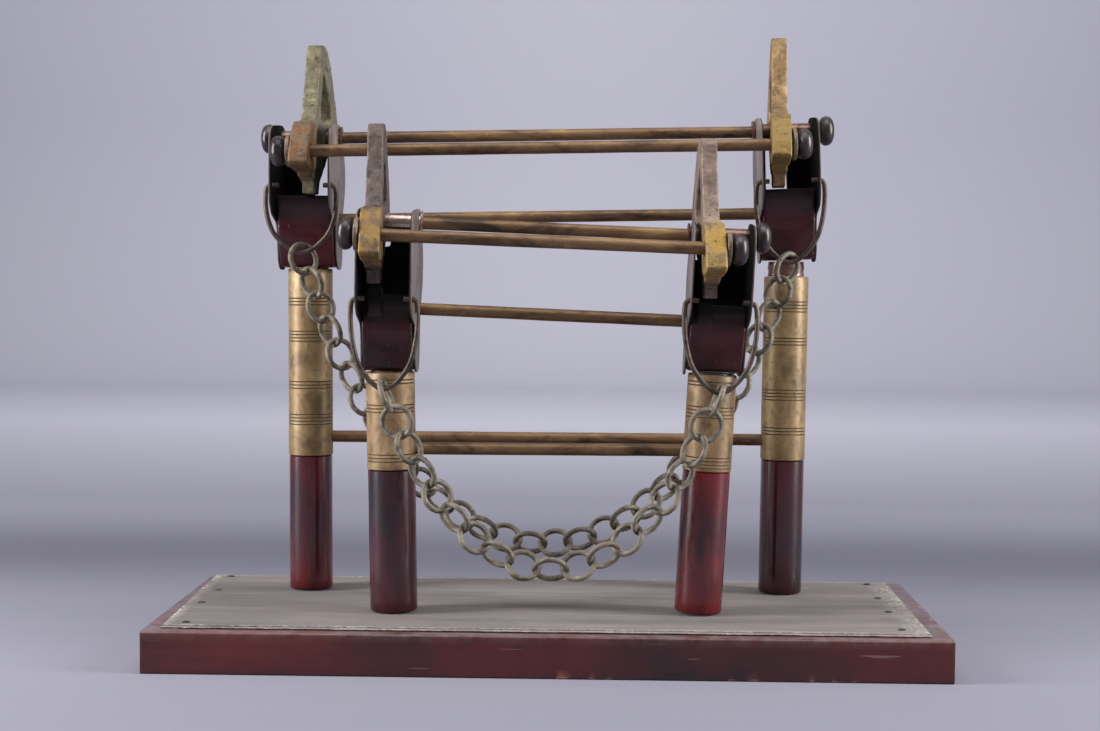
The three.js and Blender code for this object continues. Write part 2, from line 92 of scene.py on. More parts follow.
class Surface:
    """A procedural material in the row frame: noise scales are in features per metre."""

    def __init__(self, name, metallic=0.0, coat=0.0, coat_roughness=0.2, specular=0.5):
        self.material = bpy.data.materials.new(name)
        self.material.use_nodes = True
        self.tree = self.material.node_tree
        self.shader = self.tree.nodes["Principled BSDF"]
        self.shader.inputs["Metallic"].default_value = metallic
        self.shader.inputs["Coat Weight"].default_value = coat
        self.shader.inputs["Coat Roughness"].default_value = coat_roughness
        self.shader.inputs["Specular IOR Level"].default_value = specular
        self.place = self.tree.nodes.new("ShaderNodeTexCoord").outputs["Object"]
        self.height = None

    def link(self, value, socket):
        if hasattr(value, "is_output"):
            self.tree.links.new(value, socket)
        elif isinstance(value, tuple) and len(socket.default_value) == 4:
            socket.default_value = (*value, 1.0)
        else:
            socket.default_value = value

    def noise(self, scale, detail=4.0, roughness=0.55, stretch=(1, 1, 1), shift=0.0, distortion=0.0):
        mapping = self.tree.nodes.new("ShaderNodeMapping")
        mapping.inputs["Scale"].default_value = stretch
        mapping.inputs["Location"].default_value = (shift, shift * 0.7, shift * 1.3)
        self.tree.links.new(self.place, mapping.inputs["Vector"])
        node = self.tree.nodes.new("ShaderNodeTexNoise")
        node.inputs["Scale"].default_value = scale
        node.inputs["Detail"].default_value = detail
        node.inputs["Roughness"].default_value = roughness
        node.inputs["Distortion"].default_value = distortion
        self.tree.links.new(mapping.outputs["Vector"], node.inputs["Vector"])
        return node.outputs["Fac"]

    def attribute(self, name):
        node = self.tree.nodes.new("ShaderNodeAttribute")
        node.attribute_name = name
        return node.outputs["Fac"]

    def spread(self, value, low, high, to_low=0.0, to_high=1.0):
        node = self.tree.nodes.new("ShaderNodeMapRange")
        node.inputs["From Min"].default_value = low
        node.inputs["From Max"].default_value = high
        node.inputs["To Min"].default_value = to_low
        node.inputs["To Max"].default_value = to_high
        self.tree.links.new(value, node.inputs["Value"])
        return node.outputs["Result"]

    def maths(self, kind, a, b):
        node = self.tree.nodes.new("ShaderNodeMath")
        node.operation = kind
        node.use_clamp = kind in ("ADD", "MULTIPLY")
        self.link(a, node.inputs[0])
        self.link(b, node.inputs[1])
        return node.outputs["Value"]

    def mix(self, a, b, factor):
        node = self.tree.nodes.new("ShaderNodeMix")
        node.data_type = "RGBA"
        self.link(factor, node.inputs["Factor"])
        self.link(a, node.inputs["A"])
        self.link(b, node.inputs["B"])
        return node.outputs["Result"]

    def colour(self, value):
        self.link(value, self.shader.inputs["Base Color"])

    def roughness(self, value):
        self.link(value, self.shader.inputs["Roughness"])

    def bump(self, height, depth_mm):
        """Adds a bump layer of the given depth over the ones already there."""
        node = self.tree.nodes.new("ShaderNodeBump")
        node.inputs["Strength"].default_value = 1.0
        node.inputs["Distance"].default_value = depth_mm * MM
        self.tree.links.new(height, node.inputs["Height"])
        if self.height is not None:
            self.tree.links.new(self.height, node.inputs["Normal"])
        self.height = node.outputs["Normal"]
        self.tree.links.new(self.height, self.shader.inputs["Normal"])


# ---- Materials -----------------------------------------------------------------------------------


def patina(name, dark, middle, light, metallic=0.75, rough=(0.34, 0.62), patch=45, shift=0.0,
           speckle="20180f", speckles=0.5, pit_mm=0.03, stretch=(1, 1, 1), over=None, black=None):
    """Old metal: large patches of three tones, dark speckles, fine pits and uneven gloss.

    over is an (attribute, colour) pair laid over it in patches. black names an attribute that paints it
    black and dull, as painted shade.
    """
    s = Surface(name, metallic=metallic)
    big = s.noise(patch, 6, 0.68, stretch, shift, 0.8)
    fine = s.noise(patch * 7, 6, 0.7, stretch, shift + 3)
    base = s.mix(rgb(dark), rgb(middle), s.spread(big, 0.36, 0.5))
    base = s.mix(base, rgb(light), s.spread(big, 0.54, 0.68))
    if over:
        attribute, colour = over
        patches = s.maths("MULTIPLY", s.attribute(attribute), s.spread(big, 0.4, 0.56, 0.3, 1.0))
        base = s.mix(base, rgb(colour), patches)
    base = s.mix(base, rgb(speckle), s.maths("MULTIPLY", s.spread(fine, 0.55, 0.68), speckles))
    gloss = s.spread(s.maths("ADD", s.maths("MULTIPLY", big, 0.5), s.maths("MULTIPLY", fine, 0.5)),
                     0.35, 0.65, *rough)
    if black:
        # Painted shade: black and dull where the attribute says.
        base = s.mix(base, rgb("080607"), s.attribute(black))
        gloss = s.maths("MAXIMUM", gloss, s.attribute(black))
    s.colour(base)
    s.roughness(gloss)
    s.bump(fine, pit_mm)
    s.bump(s.noise(patch * 30, 3, 0.6, (1, 1, 1), shift), pit_mm * 0.5)
    return s.material


def lacquer(name, deep, red, glow, rough=(0.16, 0.3), worn=0.25, shift=0.0, streak=(1, 1, 0.15),
            coat=0.5):
    """Dark red lacquer over wood: clouds of two reds, streaks along the grain and pale specks.

    The attribute 'soot' paints it black and dull: painted shade for the part of a head block that stands
    in shadow.
    """
    s = Surface(name, coat=coat, coat_roughness=0.1)
    grain = s.noise(160, 5, 0.6, streak, shift)
    cloud = s.noise(28, 4, 0.55, (1, 1, 0.5), shift + 5)
    base = s.mix(rgb(deep), rgb(red), s.spread(cloud, 0.36, 0.62))
    base = s.mix(base, rgb(glow), s.maths("MULTIPLY", s.spread(grain, 0.5, 0.72), 0.3))
    specks = s.noise(900, 2, 0.5, (1, 1, 0.4), shift)
    base = s.mix(base, rgb("a58c86"), s.maths("MULTIPLY", s.spread(specks, 0.735, 0.76), worn))
    # Painted shade: black and dull where the block stands in shadow.
    base = s.mix(base, rgb("080607"), s.attribute("painted_shade"))
    s.colour(base)
    gloss = s.spread(s.noise(220, 4, 0.6, streak, shift), 0.3, 0.7, *rough)
    s.roughness(s.maths("MAXIMUM", gloss, s.attribute("painted_shade")))
    s.bump(grain, 0.03)
    return s.material


def board_lacquer():
    """The board: lacquer, rubbed grey along the top bevel, chipped to bare wood where 'chip' says."""
    s = Surface("board_lacquer", coat=0.25, coat_roughness=0.3)
    grain = s.noise(90, 6, 0.65, (0.06, 1, 1))
    cloud = s.noise(14, 4, 0.6, (0.7, 1, 1), 2.0)
    base = s.mix(rgb("210a0c"), rgb("501214"), s.spread(cloud, 0.34, 0.6))
    base = s.mix(base, rgb("65221c"), s.maths("MULTIPLY", s.spread(grain, 0.52, 0.7), 0.45))
    scratches = s.noise(420, 2, 0.5, (0.05, 1, 1), 7.0)
    base = s.mix(base, rgb("9a807c"), s.maths("MULTIPLY", s.spread(scratches, 0.71, 0.74), 0.4))
    rubbed = s.maths("MULTIPLY", s.attribute("rub"), s.spread(s.noise(110, 5, 0.7), 0.3, 0.6))
    base = s.mix(base, rgb("6f605b"), s.maths("MULTIPLY", rubbed, 0.7))
    base = s.mix(base, rgb("c98468"), s.attribute("chip"))
    s.colour(base)
    s.roughness(s.spread(s.noise(60, 5, 0.6, (0.2, 1, 1)), 0.3, 0.7, 0.3, 0.52))
    s.bump(grain, 0.08)
    s.bump(scratches, 0.03)
    return s.material


def canvas():
    """Worn grey-olive cloth: a fine weave, streaks along its length and pale frayed edges."""
    s = Surface("canvas", specular=0.2)
    s.shader.inputs["Sheen Weight"].default_value = 0.15
    streaks = s.noise(70, 6, 0.65, (0.12, 1, 1))
    cloud = s.noise(11, 4, 0.6, (0.6, 1, 1), 4.0)
    base = s.mix(rgb("413936"), rgb("615651"), s.spread(cloud, 0.34, 0.64))
    base = s.mix(base, rgb("80746f"), s.maths("MULTIPLY", s.spread(streaks, 0.5, 0.72), 0.6))
    base = s.mix(base, rgb("352d29"), s.maths("MULTIPLY", s.spread(streaks, 0.44, 0.3), 0.7))
    stains = s.noise(26, 5, 0.7, (1, 1, 1), 9.0)
    base = s.mix(base, rgb("4d443c"), s.maths("MULTIPLY", s.spread(stains, 0.6, 0.74), 0.6))
    patches = s.spread(s.noise(38, 4, 0.6, (1, 1, 1), 5.0), 0.42, 0.62, 0.25, 1.0)
    torn = s.maths("MULTIPLY", s.attribute("fray"), s.spread(s.noise(420, 5, 0.7), 0.42, 0.6))
    base = s.mix(base, rgb("beb7ab"), s.maths("MULTIPLY", torn, patches))
    s.colour(base)
    s.shader.inputs["Roughness"].default_value = 0.93
    s.bump(s.noise(1300, 2, 0.5, (1, 0.25, 1)), 0.10)
    s.bump(s.noise(1300, 2, 0.5, (0.25, 1, 1), 2.0), 0.10)
    s.bump(streaks, 0.25)
    return s.material


MATERIALS = {
    "handle_front_left": lacquer("handle_front_left", "18070c", "430d16", "541a21", shift=1.0),
    "handle_front_right": lacquer("handle_front_right", "26080b", "6e1418", "84221e", shift=2.0),
    "handle_back_left": lacquer("handle_back_left", "2c0910", "5e131b", "742423", shift=3.0),
    "handle_back_right": lacquer("handle_back_right", "19070c", "3d0e15", "50191e", shift=4.0),
    "block": lacquer("block_lacquer", "20050a", "480a12", "5e1217", (0.26, 0.42), 0.5, 6.0,
                     (1, 1, 1), coat=0.0),
    "board": board_lacquer(),
    "canvas": canvas(),
    # The 'recess' patches: darker in the grooves, and painted shade at the foot, at the lip and on the
    # neck under the head.
    "tube_front": patina("turned_brass_front", "5c4934", "8f7452", "b89c75", 0.25, (0.36, 0.56), 45,
                         2.0, speckles=0.5, stretch=(1, 1, 0.7), over=("recess", "1b130c")),
    "tube_back": patina("turned_brass_back", "66543a", "8d7450", "a8936c", 0.3, (0.34, 0.54), 48,
                        0.0, speckles=0.5, stretch=(1, 1, 0.7), over=("recess", "1b130c")),
    "lever_back_left": patina("lever_green_gold", "463f31", "756e56", "9b9376", 0.4, (0.42, 0.7),
                              85, 1.0, "2e2419", 0.85, 0.14, over=("nose", "6e4a2c")),
    "lever_back_right": patina("lever_golden_olive", "5c4830", "8e734e", "bb9a72", 0.45,
                               (0.4, 0.66), 80, 2.0, "34261a", 0.8, 0.14, over=("nose", "87703a")),
    "lever_front_left": patina("lever_grey_brown", "3c322c", "625650", "84766c", 0.4,
                               (0.42, 0.7), 75, 3.0, "241b15", 0.85, 0.14,
                               over=("nose", "8f7038")),
    "lever_front_right": patina("lever_pink_gold", "5f4f47", "877467", "a5907f", 0.4,
                                (0.42, 0.7), 75, 4.0, "33271d", 0.8, 0.14,
                                over=("nose", "a08138")),
    "rod": patina("rod_brass", "453425", "7d6146", "a5865a", 0.55, (0.36, 0.6), 46, 0.0,
                  stretch=(0.35, 1, 1)),
    # The cheek plates are painted black and dull on their inner faces: painted shade between the cheeks.
    "cheek": patina("head_plate", "574d48", "7d726b", "a0958c", 0.4, (0.4, 0.62), 36, 1.0,
                    "5a4331", 0.45, black="inner_face_shade"),
    "washer": patina("washer_metal", "5a4c42", "7d6d60", "998a7c", 0.6, (0.4, 0.65), 90, 5.0),
    "iron": patina("iron_wire", "3a322d", "5b4f47", "776a60", 0.65, (0.4, 0.62), 60, 2.0),
    "knob": patina("knob_metal", "2e2a2a", "474142", "5e5757", 0.75, (0.24, 0.42), 60, 3.0,
                   speckles=0.25, pit_mm=0.015),
    "copper": patina("copper_sleeve", "4c3a33", "8a6c5f", "c0a497", 0.85, (0.24, 0.44), 60, 4.0,
                     "2e1a14", 0.4, 0.02),
    # A lit copy of the copper: near-white painted highlight, with orange specks as painted reflection.
    "copper_bright": patina("bright_sleeve", "8a6552", "c4aea2", "efe3da", 0.9, (0.18, 0.34), 60,
                            4.0, "c06a42", 0.4, 0.02),
    "chain": patina("chain_metal", "4a443a", "787062", "a0978a", 0.3, (0.5, 0.78), 120, 6.0,
                    "2b261e", 0.6, 0.10),
}
BODY_OF = {
    node: body
    for body, nodes in frame["record"]["behaviour"]["bodies"].items()
    for node in nodes
}

# ---- Mesh helpers --------------------------------------------------------------------------------


def make_object(name, verts, faces, smooth_angle=40.0):
    """A mesh object with outward faces, smooth except where faces meet at more than the angle."""
    mesh = bpy.data.meshes.new(name)
    mesh.from_pydata([tuple(v) for v in verts], [], faces)
    bm = bmesh.new()
    bm.from_mesh(mesh)
    bmesh.ops.recalc_face_normals(bm, faces=bm.faces)
    bm.to_mesh(mesh)
    bm.free()
    mesh.shade_smooth()
    mesh.set_sharp_from_angle(angle=math.radians(smooth_angle))
    obj = bpy.data.objects.new(name, mesh)
    bpy.context.scene.collection.objects.link(obj)
    return obj


def settle(obj, node, material, replaces=True):
    """Gives a piece its material and its body, and hides the CAD node that it stands for unless replaces
    is False.
    """
    obj.data.materials.clear()
    obj.data.materials.append(MATERIALS[material])
    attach(obj, BODY_OF[node])
    if replaces:
        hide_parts(node)
    return obj


def set_attribute(obj, name, values):
    layer = obj.data.attributes.new(name, "FLOAT", "POINT")
    layer.data.foreach_set("value", np.asarray(values, dtype=np.float32))


def points_of(node):
    """The node's corners, each one once."""
    verts = np.array([v.co[:] for v in NODES[node].data.vertices])
    return np.unique(verts.round(6), axis=0)


def axis_of(node, toward):
    """(start, end) of a turned node's axis, from the middles of its two end faces.

    toward is roughly the way it runs. The faces are found again as the direction improves, and each
    middle is halfway across, because a hole drilled in one side would pull an average off the axis.
    """
    p = points_of(node)
    d = np.array(toward, dtype=float)
    for slack in (2.5, 1.2, 0.6, 0.3, 0.3):
        side = np.cross(d, (0.0, 1.0, 0.0))
        side /= np.linalg.norm(side)
        up = np.cross(side, d)
        t = p @ d
        ends = []
        for chosen in (p[t < t.min() + slack * MM], p[t > t.max() - slack * MM]):
            middle = [(q.min() + q.max()) / 2 for q in (chosen @ side, chosen @ up, chosen @ d)]
            ends.append(side * middle[0] + up * middle[1] + d * middle[2])
        d = (ends[1] - ends[0]) / np.linalg.norm(ends[1] - ends[0])
    return ends[0], ends[1]


def reach_along(node, start, end):
    """How far the node runs along the line from start to end, and its largest radius about it."""
    p = points_of(node) - start
    d = (end - start) / np.linalg.norm(end - start)
    t = p @ d
    radius = np.linalg.norm(p - np.outer(t, d), axis=1).max()
    return t.min(), t.max(), radius, d


def lathe(name, start, direction, profile, segments=48, wobble=0.0):
    """Revolves (radius, distance) pairs about a line. Ends on the axis close to a point."""
    d = Vector(direction).normalized()
    side = d.orthogonal().normalized()
    up = d.cross(side)
    start = Vector(start)
    verts, rings = [], []
    for radius, distance in profile:
        if radius < 1e-7:
            rings.append([len(verts)])
            verts.append(start + d * distance)
            continue
        ring = []
        for k in range(segments):
            a = 2 * math.pi * k / segments
            out = side * math.cos(a) + up * math.sin(a)
            at = start + d * distance + out * radius
            at += out * wobble * noise.noise(at * 60)
            ring.append(len(verts))
            verts.append(at)
        rings.append(ring)
    faces = []
    for a, b in zip(rings, rings[1:]):
        for k in range(segments):
            n = (k + 1) % segments
            if len(a) == 1:
                faces.append((a[0], b[k], b[n]))
            elif len(b) == 1:
                faces.append((a[k], a[n], b[0]))
            else:
                faces.append((a[k], a[n], b[n], b[k]))
    return make_object(name, verts, faces)


def spline(points, count, closed):
    """Points along a centripetal Catmull-Rom curve, the curve that the solids are drawn with."""
    p = [np.array(q, dtype=float) for q in points]
    n = len(p)
    spans = n if closed else n - 1
    out = []
    for i in range(count if closed else count + 1):
        at = i / count * spans
        k = min(int(at), spans - 1)
        t = at - k
        if closed:
            a, b, c, d = p[(k - 1) % n], p[k % n], p[(k + 1) % n], p[(k + 2) % n]
        else:
            b, c = p[k], p[k + 1]
            a = p[k - 1] if k > 0 else 2 * b - c
            d = p[k + 2] if k + 2 < n else 2 * c - b
        k1 = max(np.linalg.norm(b - a) ** 0.5, 1e-6)
        k2 = max(np.linalg.norm(c - b) ** 0.5, 1e-6)
        k3 = max(np.linalg.norm(d - c) ** 0.5, 1e-6)
        m1 = ((b - a) / k1 - (c - a) / (k1 + k2) + (c - b) / k2) * k2
        m2 = ((c - b) / k2 - (d - b) / (k2 + k3) + (d - c) / k3) * k2
        out.append((2 * t**3 - 3 * t**2 + 1) * b + (t**3 - 2 * t**2 + t) * m1
                   + (-2 * t**3 + 3 * t**2) * c + (t**3 - t**2) * m2)
    return out


def wire(path, radius, sides=14, closed=False, rough=0.0):
    """The corners and faces of a round wire along points, with flat ends or as a loop."""
    p = [Vector(q) for q in path]
    n = len(p)
    tangents = []
    for i in range(n):
        a = p[(i - 1) % n] if closed or i else p[0]
        b = p[(i + 1) % n] if closed or i < n - 1 else p[-1]
        tangents.append((b - a).normalized())
    side = tangents[0].orthogonal().normalized()
    verts, faces = [], []
    for i in range(n):
        side = (side - tangents[i] * side.dot(tangents[i])).normalized()
        up = tangents[i].cross(side)
        for k in range(sides):
            a = 2 * math.pi * k / sides
            out = side * math.cos(a) + up * math.sin(a)
            r = radius + rough * noise.noise((p[i] + out * radius) * 700)
            verts.append(p[i] + out * r)
    for i in range(n if closed else n - 1):
        j = (i + 1) % n
        for k in range(sides):
            m = (k + 1) % sides
            faces.append((i * sides + k, i * sides + m, j * sides + m, j * sides + k))
    if not closed:
        faces.append(tuple(range(sides)))
        faces.append(tuple(range((n - 1) * sides, n * sides)))
    return verts, faces


def softened(node, name, voxel_mm, smooth_steps, bumps):
    """A copy of a CAD node, remeshed and rounded, moved along its normals by bumps(point)."""
    obj = bpy.data.objects.new(name, NODES[node].data.copy())
    bpy.context.scene.collection.objects.link(obj)
    weld = obj.modifiers.new("weld", "WELD")
    weld.merge_threshold = 0.01 * MM
    remesh = obj.modifiers.new("remesh", "REMESH")
    remesh.mode = "VOXEL"
    remesh.voxel_size = voxel_mm * MM
    smooth = obj.modifiers.new("smooth", "SMOOTH")
    smooth.factor = 0.5
    smooth.iterations = smooth_steps
    graph = bpy.context.evaluated_depsgraph_get()
    mesh = bpy.data.meshes.new_from_object(obj.evaluated_get(graph))
    obj.modifiers.clear()
    obj.data = mesh
    moved = [v.co + v.normal * bumps(v.co) for v in mesh.vertices]
    for vertex, at in zip(mesh.vertices, moved):
        vertex.co = at
    mesh.shade_smooth()
    return obj


# ---- Posts ---------------------------------------------------------------------------------------

# Groove groups on each tube: height above the floor and how many grooves, in millimetres.
GROOVES = {
    "front_left": [(118.5, 3), (148, 3), (164, 2)],
    "front_right": [(117, 4), (147, 4), (164, 2)],
    "back_left": [(135, 4), (157, 3), (188, 4), (210, 3)],
    "back_right": [(130, 3), (153, 4), (187, 3), (209, 4)],
}
GROOVE_PITCH, GROOVE_HALF, GROOVE_DEPTH = 2.1 * MM, 0.42 * MM, 0.38 * MM
NECK_R, NECK_TALL = 11.5 * MM, 0.9 * MM       # the neck that closes the gap under a head

for post in POSTS:
    tube_start, tube_end = axis_of(f"{post}_tube", (0, 0, 1))
    low, high, radius, up = reach_along(f"{post}_tube", tube_start, tube_end)

    # The turned tube, grooved, with its lip rounded at the top and a hair of shadow at the foot.
    marks = []
    for height, count in GROOVES[post]:
        middle = (height * MM - tube_start[2]) / up[2]
        marks += [middle + (k - (count - 1) / 2) * GROOVE_PITCH for k in range(count)]
    profile = [(radius - 1.2 * MM, 0.0), (radius - 0.3 * MM, 0.0), (radius, 0.35 * MM)]
    recess = [0.6, 0.6, 0.2]
    for mark in sorted(marks):
        if mark + GROOVE_HALF > high - 1.2 * MM:
            continue
        # Darker in the grooves, most at their bottoms.
        for offset, depth, darkening in ((-1.6, 0, 0.0), (-1, 0, 0.25), (0, 1, 1.0), (1, 0, 0.25), (1.6, 0, 0)):
            profile.append((radius - depth * GROOVE_DEPTH, mark + offset * GROOVE_HALF))
            recess.append(darkening)
    # Painted shade under the head: the tube darkens towards its lip, and the neck is fully dark.
    profile += [(radius, high - 0.8 * MM), (radius - 0.6 * MM, high)]
    recess += [0.1, 0.5]
    if f"{post}_neck_collar" not in NODES:
        profile += [(NECK_R, high), (NECK_R, high + NECK_TALL)]
        recess += [1.0, 1.0]
    profile.append((0.0, profile[-1][1]))
    recess.append(1.0)
    tube = lathe(f"{post}_turned_tube", tube_start, up, profile, 64, 0.10 * MM)
    values = []
    for (r, _), darkening in zip(profile, recess):
        values += [darkening] * (1 if r < 1e-7 else 64)
    set_attribute(tube, "recess", values)
    settle(tube, f"{post}_tube", f"tube_{post.split('_')[0]}")

    # The lacquered handle below it, a little fuller in the middle, its foot edge rounded.
    start, end = axis_of(f"{post}_handle", (0, 0, 1))
    full = float(np.linalg.norm(tube_start - start)) - 0.15 * MM
    widest = reach_along(f"{post}_handle", start, end)[2]
    profile = [(0, 0), (widest - 1.5 * MM, 0), (widest - 0.5 * MM, 0.5 * MM), (widest, 1.5 * MM)]
    profile += [(widest, full * k / 12) for k in range(1, 12)]
    profile += [(widest, full - 0.8 * MM), (widest - 0.7 * MM, full), (0, full)]
    handle = lathe(f"{post}_turned_handle", start, up, profile, 64, 0.08 * MM)
    settle(handle, f"{post}_handle", f"handle_{post}")

start, end = axis_of("back_right_neck_collar", (0, 0, 1))
collar_points = points_of("back_right_neck_collar")
collar_mid = (collar_points.min(0) + collar_points.max(0)) / 2
low_z, high_z = collar_points[:, 2].min(), collar_points[:, 2].max()
collar_r = (collar_points[:, 1].max() - collar_points[:, 1].min()) / 2
collar = lathe("back_right_copper_neck", (collar_mid[0], collar_mid[1], low_z), (0, 0, 1), [
    (0, 0), (collar_r - 0.4 * MM, 0), (collar_r, 0.5 * MM), (collar_r - 0.5 * MM, 3 * MM),
    (collar_r, 5 * MM), (collar_r - 0.4 * MM, high_z - low_z), (0, high_z - low_z),
], 48, 0.2 * MM)
settle(collar, "back_right_neck_collar", "copper")

# ---- Cross rods, knobs, washers, sleeves ---------------------------------------------------------


def place_rod(node):
    start, end = axis_of(node, (1, 0, 0))
    low, high, radius, d = reach_along(node, start, end)
    length = high - low
    steps = 60
    profile = [(0, 0), (radius - 0.5 * MM, 0), (radius, 0.5 * MM)]
    profile += [(radius, length * k / steps) for k in range(1, steps)]
    profile += [(radius, length - 0.5 * MM), (radius - 0.5 * MM, length), (0, length)]
    obj = lathe(f"{node}_bar", start, d, profile, 28, 0.12 * MM)
    settle(obj, node, "rod")
    return start, d


def place_knob(node, start, d):
    """An oblate bun, flat on its inner face."""
    low, high, radius, _ = reach_along(node, start, start + d)
    inward = low if "right" in node else high
    outward = d if "right" in node else -d
    length = high - low
    shape = [(0.0, 0.0), (0.56, 0.0), (0.7, 0.04), (0.88, 0.16), (0.97, 0.31), (1.0, 0.46),
             (0.98, 0.6), (0.9, 0.75), (0.75, 0.87), (0.52, 0.955), (0.26, 0.99), (0.0, 1.0)]
    profile = [(r * radius, t * length) for r, t in shape]
    obj = lathe(f"{node}_bun", start + d * inward, outward, profile, 48, 0.12 * MM)
    settle(obj, node, "knob")


def place_washer(node, start, d):
    low, high, radius, _ = reach_along(node, start, start + d)
    t = high - low
    profile = [(0, 0), (radius - 0.6 * MM, 0), (radius, 0.5 * MM), (radius, t - 0.5 * MM),
               (radius - 0.6 * MM, t), (0, t)]
    obj = lathe(f"{node}_disc", start + d * low, d, profile, 48, 0.15 * MM)
    settle(obj, node, "washer")


SLEEVE_BORE, SLEEVE_R, SLEEVE_RIM = 3.85 * MM, 5.0 * MM, 1.3 * MM


def place_sleeve(node, start, d):
    """A rolled copper sleeve whose ends are beaten out over the plates."""
    low, high, radius, _ = reach_along(node, start, start + d)
    t = high - low
    bore, wall, rim = SLEEVE_BORE, SLEEVE_R, SLEEVE_RIM
    profile = [
        (bore, 0.3 * MM), (radius - 0.6 * MM, 0), (radius, 0.35 * MM), (radius - 0.3 * MM, rim),
        (wall, rim + 0.2 * MM), (wall, t - rim - 0.2 * MM), (radius - 0.3 * MM, t - rim),
        (radius, t - 0.35 * MM), (radius - 0.6 * MM, t), (bore, t - 0.3 * MM), (bore, 0.3 * MM),
    ]
    obj = lathe(f"{node}_rolled", start + d * low, d, profile, 40, 0.25 * MM)
    # The front left sleeve takes the copy of the copper with painted highlight and reflection.
    settle(obj, node, "copper_bright" if node == "front_left_sleeve" else "copper")


PIN_LINE = {}
for f in FRAMES:
    PIN_LINE[f] = place_rod(f"{f}_pin_rod")
    for part in ("middle_rod", "lower_rod"):
        place_rod(f"{f}_{part}")
    carried = place_rod(f"{f}_lever_rod")
    for side in SIDES:
        place_knob(f"{f}_lever_knob_{side}", *carried)
        place_washer(f"{f}_washer_{side}", *carried)
        place_sleeve(f"{f}_{side}_sleeve", *PIN_LINE[f])
        if f"{f}_pin_knob_{side}" in NODES:
            place_knob(f"{f}_pin_knob_{side}", *PIN_LINE[f])

# ---- Heads ---------------------------------------------------------------------------------------


def cheek_outline(drop):
    """The plate round the pin: u forward, v up, in millimetres. Its lower part follows the drop."""
    k = drop / 83.6
    s = 2.5 if drop > 86 else 0.0
    return [
        (43, -4), (40, 2.5), (33, 5.5), (20, 7), (6, 8), (-3, 8), (-10, 5.5), (-16, -1),
        (-22, -11 * k), (-26, -22 * k), (-24.5, -33 * k), (-19, -42 * k), (-13.5, -50 * k),
        (-12, -60 * k), (-11.5, -74 * k), (-8, -82 * k), (0, -83.6 * k), (8, -82 * k),
        (13, -76 * k), (15, -65 * k), (18, -55.5 * k - s), (27, -52 * k - s),
        (37, -48.5 * k - s), (43.5, -41 * k - s), (44.5, -30 * k), (44, -16 * k),
    ]


def cheek_frame(node):
    """(pin centre, outward normal, up, thickness) of a thin upright plate, from its own corners."""
    p = points_of(node)
    normal = np.linalg.svd(p - p.mean(0), full_matrices=False)[2][2]
    normal = normal if normal[0] > 0 else -normal
    start, d = PIN_LINE[node.split("_")[0]]
    across = p @ normal
    middle = (across.min() + across.max()) / 2
    pin = start + d * ((middle - start @ normal) / (d @ normal))
    up = np.array((-normal[2], 0.0, normal[0]))
    return pin, normal, up / np.linalg.norm(up), across.max() - across.min()


def place_cheek(node, post):
    pin, normal, up, thick = cheek_frame(node)
    forward = np.array((0.0, -1.0, 0.0))
    drop = -((points_of(node) - pin) @ up).min() / MM
    hinge = np.array(JOINTS[f"{post}_bail_swing"]["pos_m"]) - pin
    holes = [(0.0, 0.0, 5.8), (hinge @ forward / MM, hinge @ up / MM, 2.4)]
    loops = [[tuple(q) for q in spline(cheek_outline(drop), 150, True)]]
    for u, v, r in holes:
        loops.append([(u + r * math.cos(a), v + r * math.sin(a))
                      for a in np.linspace(0, 2 * math.pi, 28, endpoint=False)])
    bm = bmesh.new()
    for loop in loops:
        corners = []
        for u, v in loop:
            at = pin + forward * u * MM + up * v * MM - normal * thick / 2
            corners.append(bm.verts.new(at))
        for a, b in zip(corners, corners[1:] + corners[:1]):
            bm.edges.new((a, b))
    bmesh.ops.triangle_fill(bm, use_beauty=True, use_dissolve=False, edges=bm.edges[:])
    made = bmesh.ops.extrude_face_region(bm, geom=bm.faces[:])
    raised = [v for v in made["geom"] if isinstance(v, bmesh.types.BMVert)]
    bmesh.ops.translate(bm, verts=raised, vec=Vector(normal * thick))
    bmesh.ops.recalc_face_normals(bm, faces=bm.faces)
    mesh = bpy.data.meshes.new(f"{node}_plate")
    bm.to_mesh(mesh)
    bm.free()
    mesh.shade_smooth()
    mesh.set_sharp_from_angle(angle=math.radians(40))
    obj = bpy.data.objects.new(f"{node}_plate", mesh)
    bpy.context.scene.collection.objects.link(obj)
    inward = -1 if node.endswith("right") else 1
    # The inner faces are marked for painted shade, which turns them black in the material.
    set_attribute(obj, "inner_face_shade", [
        1.0 if (v.co - Vector(pin)).dot(Vector(normal)) * inward > 0 else 0.0 for v in mesh.vertices
    ])
    edge = obj.modifiers.new("worn_edge", "BEVEL")
    edge.width = 0.22 * MM
    edge.segments = 2
    edge.limit_method = "ANGLE"
    edge.angle_limit = math.radians(55)
    settle(obj, node, "cheek")


# Heights from the pin, in millimetres, where the painted shade (black) starts on a head block and where it
# is full.
PAINTED_SHADE_HEIGHTS = {"front_left": (-62, -46), "front_right": (-62, -44), "back_left": (-50, -36),
        "back_right": (-50, -36)}


def cast_skin(at):
    """Lumps, fine grain and scattered pits of an old sand casting."""
    lumps = noise.noise(at * 90) * 0.16
    grain = noise.noise(at * 520) * 0.07
    pits = max(0.0, noise.noise(at * 260 + Vector((7, 3, 5))) - 0.32) * -0.8
    return (lumps + grain + pits) * MM


def carved_skin(at):
    return noise.noise(at * 80) * 0.12 * MM


def fade(value, start, full):
    """0 at start, 1 at full."""
    return min(1.0, max(0.0, (value - start) / (full - start)))


